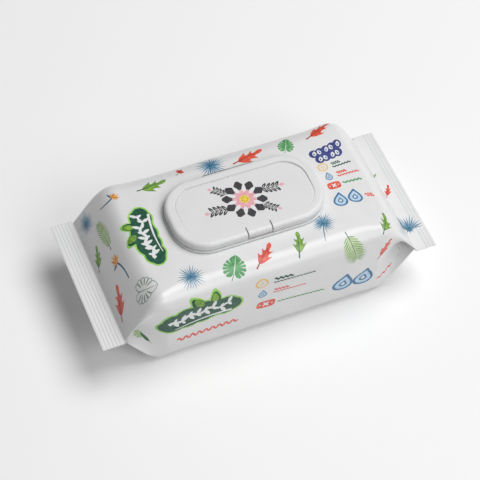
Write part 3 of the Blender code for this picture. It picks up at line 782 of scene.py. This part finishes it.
BOTTOM_PRINT = (
    (green_monstera, 15.5, -58.0, -34.0, 20.0),
    (red_lobed, 21.0, -34.0, -26.0, -30.0),
    (blue_palm, 8.5, -8.0, -30.0, 0.0),
    (green_lobed, 20.0, 20.0, -38.0, 40.0),
    (orange_flower, 13.0, 42.0, -26.0, -30.0),
    (green_feather, 22.0, 62.0, -40.0, 14.0),
    (green_lobed, 20.0, -62.0, 16.0, -40.0),
    (stalked_palm, 7.5, -36.0, 32.0, 20.0),
    (line_monstera, 15.5, -14.0, 16.0, 12.0),
    (red_lobed, 21.0, 12.0, 22.0, 60.0),
    (dark_leaf, 9.0, 34.0, 18.0, -40.0),
    (green_monstera, 15.5, 56.0, 16.0, -24.0),
    (red_flower, 8.0, 74.0, 34.0, 30.0),
)


def top_profile():
    """Lengths along the middle of the top film, from one fin's end to the other's, and their x."""
    x = np.arange(film_low[0], film_high[0] + 0.1, 0.2)
    place = flat_point(x, np.zeros_like(x))
    steps = np.linalg.norm(np.diff(place, axis=0), axis=1)
    return np.concatenate(((0.0,), np.cumsum(steps))), x


PROFILE_LENGTHS, PROFILE_X = top_profile()


def way_round(x, value, column, low, high):
    """The s between two limits at which the wrap at x has the given y or z."""
    s = np.linspace(low, high, 400)
    found = flat_point(np.full_like(s, x), s)[:, column]
    return s[np.argmin(np.abs(found - value))]


# Each face of the wrap: its layout, and which way x and s run along a motif's a and b
FACES = {
    "top": (TOP_PRINT, 1.0, 1.0),
    "near": (NEAR_PRINT, 1.0, 1.0),
    "far": (FAR_PRINT, -1.0, -1.0),
    "bottom": (BOTTOM_PRINT, 1.0, -1.0),
}


def on_wrap(face, x, height, angle, points):
    """Film coordinates of a motif's points, true to size on the curved wrap."""
    a, b = turned(points, math.radians(angle)).T
    _, way_x, way_s = FACES[face]
    if face == "top":
        s = way_round(x, height, 1, -TOP_ARC_END, TOP_ARC_END)
    elif face == "bottom":
        ends = (math.copysign(SIDE_END, height), math.copysign(HALF_ROUND, height))
        s = way_round(x, height, 1, min(ends), max(ends))
    else:
        side = -1.0 if face == "near" else 1.0
        s = side * way_round(x, height, 2, TOP_FLAT, BOTTOM_ARC_END)
    along, around = slopes(flat_point, np.array((x,)), np.array((s,)))
    round_places = s + way_s * b / np.linalg.norm(around)
    if face == "top":
        middle = np.interp(x, PROFILE_X, PROFILE_LENGTHS)
        along_places = np.interp(middle + a, PROFILE_LENGTHS, PROFILE_X)
    else:
        along_places = x + way_x * a / np.linalg.norm(along)
    return np.stack((along_places, round_places), axis=-1)


def wrap_print():
    """Every inked outline on the wrap, in film coordinates, those on top last."""
    shapes = []
    limit = FIN_END - 0.05
    for face, (layout, _, _) in FACES.items():
        for motif, size, x, height, angle in layout:
            for ink, points in motif(size):
                places = on_wrap(face, x, height, angle, points)
                places[:, 0] = np.clip(places[:, 0], -limit, limit)
                shapes.append((ink, places))
    return shapes


def anticlockwise(points):
    x, y = np.asarray(points).T
    area = np.sum(x * np.roll(y, -1) - y * np.roll(x, -1))
    return points if area > 0 else points[::-1]


def pave(loose, shapes, hole=None):
    """Triangles over loose points and outlines: places, triangles, the ink of each, the hole's edge."""
    outlines = [outline for _, outline in shapes]
    if hole is not None:
        outlines.append(hole)
    places = [tuple(point) for point in loose]
    faces = []
    for outline in outlines:
        faces.append(list(range(len(places), len(places) + len(outline))))
        places += [tuple(point) for point in anticlockwise(outline)]
    whole_hull = 0
    closeness = 1e-5
    made = delaunay_2d_cdt([Vector(p) for p in places], [], faces, whole_hull, closeness, True)
    spots, triangles, sources, owners = made[0], made[2], made[3], made[5]
    inks = []
    kept = []
    for triangle, owner in zip(triangles, owners):
        if hole is not None and len(shapes) in owner:
            continue
        kept.append(triangle)
        inks.append(shapes[max(owner)][0] if owner else BARE)
    rim = []
    if hole is not None:
        where = {source: i for i, found in enumerate(sources) for source in found}
        rim = [where[i] for i in faces[-1]]
    return np.array([tuple(spot) for spot in spots]), np.array(kept), np.array(inks), rim


def mouth_outline():
    """The mouth in film coordinates, a slot with round ends."""
    steps = 12
    points = []
    for side in (1.0, -1.0):
        for i in range(steps + 1):
            angle = math.pi * (i / steps - 0.5)
            x = MOUTH_HALF_X - MOUTH_HALF_Y + MOUTH_HALF_Y * math.cos(angle)
            points.append((LID_X + side * x, LID_Y + side * MOUTH_HALF_Y * math.sin(angle)))
    return np.array(points)


def stops(*runs):
    """Values along several runs, each given as its start, end and pitch, with every join once."""
    values = []
    for start, end, pitch in runs:
        count = max(1, round(abs(end - start) / pitch))
        values += list(np.linspace(start, end, count + 1))
    return np.array(sorted(set(np.round(values, 6))))


def both_sides(values):
    """Values with their negatives, each once."""
    return np.array(sorted(set(np.round(np.concatenate((values, -values)), 6))))


def grid(rows, columns):
    """Loose points over the wrap, at x and s on both sides of 0."""
    return np.array([(x, s) for x in both_sides(stops(*rows)) for s in both_sides(stops(*columns))])


# Runs of x and s on the wrap's outer and inner face with the mesh's pitch, closer where it curves more
LEVEL_END = 60.0
SLOPE_START = 84.0
SEAL_EDGE = SEAL_HALF_X + 0.3
SEAM_START = HALF_ROUND - 9.0
OUTER_ROWS = ((0.0, LEVEL_END, 3.0), (LEVEL_END, SLOPE_START, 1.6), (SLOPE_START, SEAL_HALF_X, 0.9),
              (SEAL_HALF_X, SEAL_EDGE, 0.3), (SEAL_EDGE, FIN_END, 0.4))
OUTER_COLUMNS = ((0.0, TOP_FLAT, 2.4), (TOP_FLAT, TOP_ARC_END, 1.3), (TOP_ARC_END, SIDE_END, 1.9),
                 (SIDE_END, BOTTOM_ARC_END, 1.3), (BOTTOM_ARC_END, SEAM_START, 3.2),
                 (SEAM_START, HALF_ROUND, 0.4))
INNER_ROWS = ((0.0, LEVEL_END, 10.0), (LEVEL_END, SEAL_HALF_X - CAVITY_START, 2.5))
INNER_COLUMNS = ((0.0, TOP_FLAT, 9.0), (TOP_FLAT, TOP_ARC_END, 3.4), (TOP_ARC_END, SIDE_END, 7.0),
                 (SIDE_END, BOTTOM_ARC_END, 3.1), (BOTTOM_ARC_END, HALF_ROUND, 10.0))


def closed_round(places, triangles):
    """Join the two edges of the flat map, which meet in the middle of the bottom."""
    joined = np.arange(len(places))
    on_edge = {}
    for i in np.flatnonzero(np.abs(places[:, 1] - HALF_ROUND) < 1e-4):
        on_edge[round(float(places[i, 0]), 3)] = i
    for i in np.flatnonzero(np.abs(places[:, 1] + HALF_ROUND) < 1e-4):
        joined[i] = on_edge[round(float(places[i, 0]), 3)]
    return joined[triangles]


def edge_loop(places, x, joined):
    """Points on the map's edge at x, from one side of the bottom round to the other."""
    found = np.flatnonzero(np.abs(places[:, 0] - x) < 1e-4)
    found = found[np.argsort(places[found, 1])]
    return [int(joined[i]) for i in found[1:]]


def mesh_of(name, places, faces, materials, inks=None):
    """Mesh with smooth faces from places in mm."""
    mesh = bpy.data.meshes.new(name)
    points = np.asarray(places, float) * MM
    mesh.from_pydata(points.tolist(), [], [tuple(map(int, face)) for face in faces])
    for material in materials:
        mesh.materials.append(material)
    if inks is not None:
        mesh.polygons.foreach_set("material_index", np.asarray(inks, np.int32))
    mesh.shade_smooth()
    return mesh


def build_film(materials):
    """One closed shell: the printed outer face with its fins, the inner face and the mouth's edge."""
    mouth = mouth_outline()
    outer, outer_faces, inks, outer_rim = pave(grid(OUTER_ROWS, OUTER_COLUMNS), wrap_print(), mouth)
    inner, inner_faces, _, inner_rim = pave(grid(INNER_ROWS, INNER_COLUMNS), [], mouth)
    inner_point = partial(flat_point, depth=FILM)
    outside = film_point(*outer.T)
    inside = inner_point(*inner.T)
    normals = np.concatenate((facing(film_point, *outer.T), -facing(inner_point, *inner.T)))

    start = len(outer)
    outer_joined = closed_round(outer, np.arange(len(outer)))
    inner_joined = closed_round(inner, np.arange(len(inner)))
    polygons = [tuple(face) for face in outer_joined[outer_faces]]
    slots = list(inks)
    polygons += [tuple(start + i for i in face[::-1]) for face in inner_joined[inner_faces]]
    count = len(outer_rim)
    for i in range(count):
        j = (i + 1) % count
        polygons.append((outer_rim[j], outer_rim[i], start + inner_rim[i], start + inner_rim[j]))
    polygons.append(tuple(edge_loop(outer, FIN_END, outer_joined)[::-1]))
    polygons.append(tuple(edge_loop(outer, -FIN_END, outer_joined)))
    deep = SEAL_HALF_X - CAVITY_START
    polygons.append(tuple(start + i for i in edge_loop(inner, deep, inner_joined)))
    polygons.append(tuple(start + i for i in edge_loop(inner, -deep, inner_joined)[::-1]))
    slots += [BARE] * (len(polygons) - len(slots))

    mesh = mesh_of("film", np.concatenate((outside, inside)), polygons, materials, slots)
    corners = np.zeros(len(mesh.loops), np.int32)
    mesh.loops.foreach_get("vertex_index", corners)
    normals = normals[corners]
    shaded = len(outer_faces) + len(inner_faces)
    for polygon in list(mesh.polygons)[shaded:]:
        normals[polygon.loop_start:polygon.loop_start + polygon.loop_total] = polygon.normal
    mesh.normals_split_custom_set(normals.tolist())

    inner_shift = 2.2 * SEAL_HALF_X
    chart_size = 4.5 * SEAL_HALF_X
    margin = 4.0
    flat = np.concatenate((outer, inner + (inner_shift, 0.0)))
    chart = mesh.uv_layers.new(name="OFBake")
    uv = (flat + (FIN_END + margin, HALF_ROUND + margin)) / chart_size
    chart.data.foreach_set("uv", uv[corners].astype(np.float32).ravel())
    return without_loose(mesh)


def linked(name, data):
    """New object in the scene."""
    item = bpy.data.objects.new(name, data)
    bpy.context.scene.collection.objects.link(item)
    return item


def without_loose(mesh):
    """Object of a mesh without the points that no face uses."""
    item = linked(mesh.name, mesh)
    bm = bmesh.new()
    bm.from_mesh(mesh)
    bmesh.ops.delete(bm, geom=[v for v in bm.verts if not v.link_faces], context="VERTS")
    bm.to_mesh(mesh)
    bm.free()
    return item


def placed(name, places, faces, materials, inks=None):
    """Object with smooth faces from places in mm."""
    return without_loose(mesh_of(name, places, faces, materials, inks))


# Inks of the lid's print
LID_TONES = {
    "charcoal": ((66, 66, 70), (48, 48, 52)),
    "chalk": ((238, 238, 238), (230, 230, 231)),
    "pink": ((240, 188, 194), (228, 160, 170)),
    "lemon": ((246, 222, 88), (238, 200, 54)),
}
CHARCOAL, CHALK, PINK, LEMON = range(1, len(LID_TONES) + 1)


def blossom(radius):
    """Open flower of dark, white and pink petals about a yellow heart."""
    parts = []
    rings = ((CHARCOAL, 10, 1.0, 0.58), (CHALK, 10, 0.84, 0.22), (PINK, 10, 0.54, 0.26))
    for ring, (ink, count, reach, width) in enumerate(rings):
        for i in range(count):
            parts += petal(ink, reach * radius, width * radius, 360.0 * (i + 0.5 * ring) / count)
    parts.append((LEMON, disc((0.0, 0.0), 0.20 * radius)))
    for i in range(7):
        seed = turned((0.0, 0.12 * radius), 2.0 * math.pi * i / 7.0)
        parts.append((CHARCOAL, disc(seed, 0.022 * radius, 8)))
    return parts


def leafy_twig(size):
    """Bent twig with pairs of dark leaves and a pink bud at its end."""
    line = curve((0.0, 0.0), (0.16 * size, 0.5 * size), (0.0, size), 11)
    parts = [(CHARCOAL, ribbon(line, 0.045 * size, 0.02 * size))]
    for i in range(2, 10, 2):
        for angle in (52.0, -52.0):
            parts += petal(CHARCOAL, 0.36 * size, 0.16 * size, angle, line[i])
            parts += petal(CHALK, 0.22 * size, 0.03 * size, angle, line[i])
    return parts + petal(PINK, 0.26 * size, 0.18 * size, 0.0, line[-1])


# Lid print layout, as seen from above and from the lid's middle
LID_PRINT = (
    (leafy_twig, 14.0, -11.0, -5.0, 82.0),
    (leafy_twig, 14.0, 11.0, 5.0, -98.0),
    (leafy_twig, 11.0, -9.0, 6.0, 48.0),
    (leafy_twig, 11.0, 9.0, -6.0, -132.0),
    (blossom, 15.5, 0.0, 0.0, 0.0),
)


def build_lid_print(materials):
    """Printed flower just above the cover's sunk panel."""
    shapes = []
    for motif, size, x, y, angle in LID_PRINT:
        shapes += moved(motif(size), angle, (LID_X + x, LID_Y + y))
    places, triangles, inks, _ = pave([], shapes)
    triangles = triangles[inks != BARE]
    inks = inks[inks != BARE]
    inner = LID_HALF_Y - COVER_BORDER
    share = (places[:, 1] - LID_Y + inner) / (2.0 * inner)
    height = COVER_TOP - PANEL_LIP - PANEL_STEP * share + PRINT_LIFT
    return placed("lid_print", np.column_stack((places, height)), triangles, materials, inks - 1)


def build_hinge_web(material):
    """Thin bent strip that joins the lid frame's land to the cover's bar."""
    heights = np.linspace(LAND_TOP - WEB_OVERLAP, BAR_BOTTOM + WEB_OVERLAP, 13)
    middle = 0.5 * (LAND_TOP + BAR_BOTTOM)
    bow = WEB_BOW * np.exp(-((heights - middle) / WEB_BOW_REACH) ** 2)
    outline = [(HINGE_Y + lift + WEB_THICKNESS, z) for lift, z in zip(bow, heights)]
    outline += [(HINGE_Y + lift, z) for lift, z in zip(bow[::-1], heights[::-1])]
    count = len(outline)
    places = []
    for side in (-1.0, 1.0):
        places += [(LID_X + side * HINGE_HALF_X, y, z) for y, z in outline]
    faces = [(i, (i + 1) % count, count + (i + 1) % count, count + i) for i in range(count)]
    faces += [tuple(range(count))[::-1], tuple(range(count, 2 * count))]
    web = placed("hinge_web", places, faces, [material])
    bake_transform(web)
    return web


def build_stack(material):
    """The block of folded wipes: the frame's form with a groove between every two of its layers."""
    bm = bmesh.new()
    bm.from_mesh(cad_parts["wipes_stack"].data)
    low, high = stack_low[2], stack_high[2]
    pitch = (high - low) / LAYERS
    for layer in range(1, LAYERS):
        for shift in (-LAYER_GROOVE, 0.0, LAYER_GROOVE):
            level = (low + layer * pitch + shift) * MM
            everything = bm.verts[:] + bm.edges[:] + bm.faces[:]
            bmesh.ops.bisect_plane(bm, geom=everything, plane_co=(0.0, 0.0, level),
                                   plane_no=(0.0, 0.0, 1.0))
    bm.normal_update()
    for vert in bm.verts:
        layer = (vert.co.z / MM - low) / pitch
        nearest = round(layer)
        if abs(layer - nearest) < 0.02 and 0 < nearest < LAYERS:
            vert.co.x -= vert.normal.x * LAYER_GROOVE * MM
            vert.co.y -= vert.normal.y * LAYER_GROOVE * MM
    mesh = bpy.data.meshes.new("wipes_block")
    bm.to_mesh(mesh)
    bm.free()
    mesh.materials.append(material)
    return linked("wipes_block", mesh)


def tuft(x, y):
    """How far the first wipe's upper plies are pinched up through the mouth."""
    along = smooth((TUFT_HALF_X - np.abs(x - LID_X)) / 9.0)
    across = np.abs(y - LID_Y - 0.9 * np.sin((x - LID_X) / 5.0)) / TUFT_HALF_Y
    crest = wipe_high[2] - stack_high[2] - 5.4 * PLY
    return crest * along * (1.0 - smooth(across)) * (0.94 + 0.06 * np.sin(x / 1.7))


def build_first_wipe(material):
    """The first wipe: one sheet folded in quarters, its upper plies pinched up through the mouth."""
    half_x, half_y = wipe_high[:2]
    turn = 0.25 * math.pi * PLY
    clearance = 0.3
    u = both_sides(stops((0.0, turn, 0.5 * turn), (turn, 2.0 * half_x, 1.3)))
    v = both_sides(stops((0.0, 2.0 * turn, 0.5 * turn), (2.0 * turn, 2.0 * half_y, 1.2)))
    u_all, v_all = (share.ravel() for share in np.meshgrid(u, v, indexing="ij"))
    first = np.clip(np.abs(u_all) / turn, 0.0, 1.0) * 0.5 * math.pi
    x = half_x - 0.5 * PLY * (1.0 - np.cos(first)) - np.maximum(np.abs(u_all) - turn, 0.0)
    offset = PLY + np.sign(u_all) * 0.5 * PLY * np.sin(first)
    second = np.clip(np.abs(v_all) / (2.0 * turn), 0.0, 1.0) * 0.5 * math.pi
    y = half_y - 1.5 * PLY + offset * np.cos(second) - np.maximum(np.abs(v_all) - 2.0 * turn, 0.0)
    z = stack_high[2] + clearance + 2.0 * PLY + np.sign(v_all) * offset * np.sin(second)
    z += np.where(v_all > 0.0, tuft(x, y), 0.0)
    columns = len(v)
    faces = []
    for i in range(len(u) - 1):
        for j in range(columns - 1):
            corner = i * columns + j
            faces.append((corner, corner + columns, corner + columns + 1, corner + 1))
    sheet = placed("first_wipe_sheet", np.column_stack((x, y, z)), faces, [material])
    return sheet


def colour_of(red, green, blue):
    """Linear colour of an sRGB colour given as 0 to 255."""
    linear = []
    for value in (red, green, blue):
        value = value / 255.0
        linear.append(value / 12.92 if value <= 0.04045 else ((value + 0.055) / 1.055) ** 2.4)
    return (*linear, 1.0)


class Nodes:
    """A new material's node tree with short ways to add and join nodes."""

    def __init__(self, name):
        self.material = bpy.data.materials.new(name)
        self.material.use_nodes = True
        self.tree = self.material.node_tree
        self.shader = self.tree.nodes["Principled BSDF"]
        self.place = self.tree.nodes.new("ShaderNodeTexCoord").outputs["Object"]

    def feed(self, node, name, value):
        """Give an input a value or link a socket to it; None leaves it as it is."""
        if isinstance(value, bpy.types.NodeSocket):
            self.tree.links.new(value, node.inputs[name])
        elif value is not None:
            node.inputs[name].default_value = value

    def add(self, kind, **inputs):
        node = self.tree.nodes.new("ShaderNode" + kind)
        for name, value in inputs.items():
            self.feed(node, name.replace("_", " "), value)
        return node

    def noise(self, scale, detail=2.0, roughness=0.5):
        """Soft noise with so many bumps to a metre."""
        node = self.add("TexNoise", Vector=self.place, Scale=scale, Detail=detail, Roughness=roughness)
        return node.outputs["Fac"]

    def spread(self, value, low, high, from_low=0.3, from_high=0.7):
        """A value's middle range stretched to another range."""
        node = self.add("MapRange", Value=value, From_Min=from_low, From_Max=from_high,
                        To_Min=low, To_Max=high)
        return node.outputs["Result"]

    def blend(self, share, first, second):
        """Colour between two; a mix node's colours are its inputs 6 and 7 and its output 2."""
        node = self.add("Mix")
        node.data_type = "RGBA"
        for number, value in ((0, share), (6, first), (7, second)):
            self.feed(node, number, value)
        return node.outputs[2]

    def bump(self, height, distance, strength=1.0, below=None):
        """Relief in metres over the relief below it."""
        node = self.add("Bump", Height=height, Distance=distance, Strength=strength, Normal=below)
        return node.outputs["Normal"]

    def finish(self, colour, roughness, normal=None, specular=0.5):
        """The material, with these looks given to its shader."""
        looks = {"Base Color": colour, "Roughness": roughness, "Normal": normal,
                 "Specular IOR Level": specular}
        for name, value in looks.items():
            self.feed(self.shader, name, value)
        return self.material


def film_finish(nodes, colour, specular):
    """Soft gloss of thin film, bare or inked, with fine creasing and pebbling."""
    roughness = nodes.spread(nodes.noise(40.0, 1.0), 0.31, 0.37)
    pebble = nodes.bump(nodes.noise(2400.0, 1.0), 0.00001, 0.1)
    creases = nodes.bump(nodes.noise(95.0, 1.0, 0.4), 0.0004, 0.16, pebble)
    return nodes.finish(colour, roughness, creases, specular)


def film_material():
    nodes = Nodes("printed_film")
    tone = nodes.spread(nodes.noise(55.0, 3.0), 0.0, 1.0)
    colour = nodes.blend(tone, colour_of(225, 225, 226), colour_of(230, 230, 230))
    return film_finish(nodes, colour, 0.75)


def ink_material(name, light, dark):
    """Ink that varies between two tones, as a wash of colour does."""
    nodes = Nodes(name)
    tone = nodes.spread(nodes.noise(420.0, 3.0, 0.6), 0.0, 1.0, 0.36, 0.64)
    return film_finish(nodes, nodes.blend(tone, colour_of(*light), colour_of(*dark)), 0.5)


def inks_of(tones):
    return [ink_material("ink_" + name, *pair) for name, pair in tones.items()]


def plastic_material(name, light, dark):
    """Satin moulded plastic with softened edges."""
    nodes = Nodes(name)
    tone = nodes.spread(nodes.noise(70.0, 2.0), 0.0, 1.0)
    colour = nodes.blend(tone, colour_of(*light), colour_of(*dark))
    roughness = nodes.spread(nodes.noise(900.0, 3.0), 0.30, 0.42)
    softened = nodes.add("Bevel", Radius=0.0009)
    softened.samples = 6
    grain = nodes.bump(nodes.noise(5200.0, 2.0), 0.00001, 0.5, softened.outputs["Normal"])
    flow = nodes.bump(nodes.noise(60.0, 1.0), 0.0003, 0.15, grain)
    return nodes.finish(colour, roughness, flow)


def wipe_material(name):
    """Damp nonwoven: crossing fibres and rows of small embossed dots."""
    nodes = Nodes(name)
    fibres = nodes.noise(2600.0, 6.0, 0.75)
    tone = nodes.spread(fibres, 0.0, 1.0, 0.35, 0.65)
    colour = nodes.blend(tone, colour_of(214, 216, 218), colour_of(240, 241, 241))
    dots = nodes.add("TexVoronoi", Vector=nodes.place, Scale=520.0, Randomness=0.25)
    dent = nodes.spread(dots.outputs["Distance"], 0.0, 1.0, 0.1, 0.4)
    pressed = nodes.bump(dent, 0.0002, 0.6)
    normal = nodes.bump(fibres, 0.00015, 0.6, pressed)
    roughness = nodes.spread(nodes.noise(150.0, 2.0), 0.55, 0.8)
    nodes.feed(nodes.shader, "Sheen Weight", 0.15)
    return nodes.finish(colour, roughness, normal, 0.3)


def lamp(name, direction, distance, size, power):
    """Round soft lamp that looks at the origin from a direction."""
    data = bpy.data.lights.new(name, "AREA")
    data.shape = "DISK"
    data.size = size
    data.energy = power
    item = linked(name, data)
    toward = Vector(direction).normalized()
    item.location = toward * distance
    item.rotation_mode = "QUATERNION"
    item.rotation_quaternion = toward.to_track_quat("Z", "Y")


def studio():
    """Plain floor, soft lamps and an even world."""
    nodes = Nodes("floor")
    colour = nodes.blend(nodes.noise(1.5, 1.0), colour_of(251, 251, 251), colour_of(252, 252, 252))
    material = nodes.finish(colour, 0.9, None, 0.1)
    # The floor lies a little lower than the pack, so that they share no plane
    half = 6000.0
    level = -0.1
    corners = [(-half, -half, level), (half, -half, level), (half, half, level), (-half, half, level)]
    floor = placed("floor", corners, [(0, 1, 2, 3)], [material])

    lamp("key", (0.42, 0.05, 0.90), distance=3.0, size=2.2, power=61.0)
    lamp("front", (0.27, -0.65, 0.72), distance=2.2, size=1.3, power=13.5)
    world = bpy.data.worlds.new("studio")
    world.use_nodes = True
    back = world.node_tree.nodes["Background"]
    back.inputs["Color"].default_value = (1.0, 1.0, 1.0, 1.0)
    back.inputs["Strength"].default_value = 0.17
    bpy.context.scene.world = world
    bpy.context.scene.view_settings.view_transform = "Standard"


def camera():
    """The photograph's viewpoint: direction, roll, distance and what it looks at."""
    azimuth = math.radians(-28.1)
    elevation = math.radians(55.0)
    roll = math.radians(6.57)
    distance = 1113.0
    target = Vector((7.1, 18.6, 0.0))
    focal_px = 1663.9
    frame_px = 480.0
    back = Vector((math.sin(azimuth) * math.cos(elevation), -math.cos(azimuth) * math.cos(elevation),
                   math.sin(elevation)))
    right = Vector((math.cos(azimuth), math.sin(azimuth), 0.0))
    up = back.cross(right)
    right_rolled = math.cos(roll) * right + math.sin(roll) * up
    up_rolled = math.cos(roll) * up - math.sin(roll) * right
    data = bpy.data.cameras.new("camera")
    data.sensor_width = 36.0
    data.lens = data.sensor_width * focal_px / frame_px
    item = linked("camera", data)
    axes = Matrix((right_rolled, up_rolled, back)).transposed().to_4x4()
    item.matrix_world = Matrix.Translation((target + back * distance) * MM) @ axes
    bpy.context.scene.camera = item


camera()
studio()

film = build_film([film_material()] + inks_of(TONES))
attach(film, "pack")
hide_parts("film_wrap")

plastics = {"lid_frame": plastic_material("frame_plastic", (226, 227, 228), (222, 223, 224)),
            "lid_cover": plastic_material("cover_plastic", (229, 229, 230), (226, 226, 227))}
for node, material in plastics.items():
    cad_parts[node].data.materials.clear()
    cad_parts[node].data.materials.append(material)

lid_print = build_lid_print(inks_of(LID_TONES))
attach(lid_print, "cover")

web = build_hinge_web(plastics["lid_frame"])

block = build_stack(wipe_material("wipes"))
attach(block, "pack")
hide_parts("wipes_stack")

first_wipe = build_first_wipe(wipe_material("first_wipe"))
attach(first_wipe, "pack")
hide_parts("top_wipe")
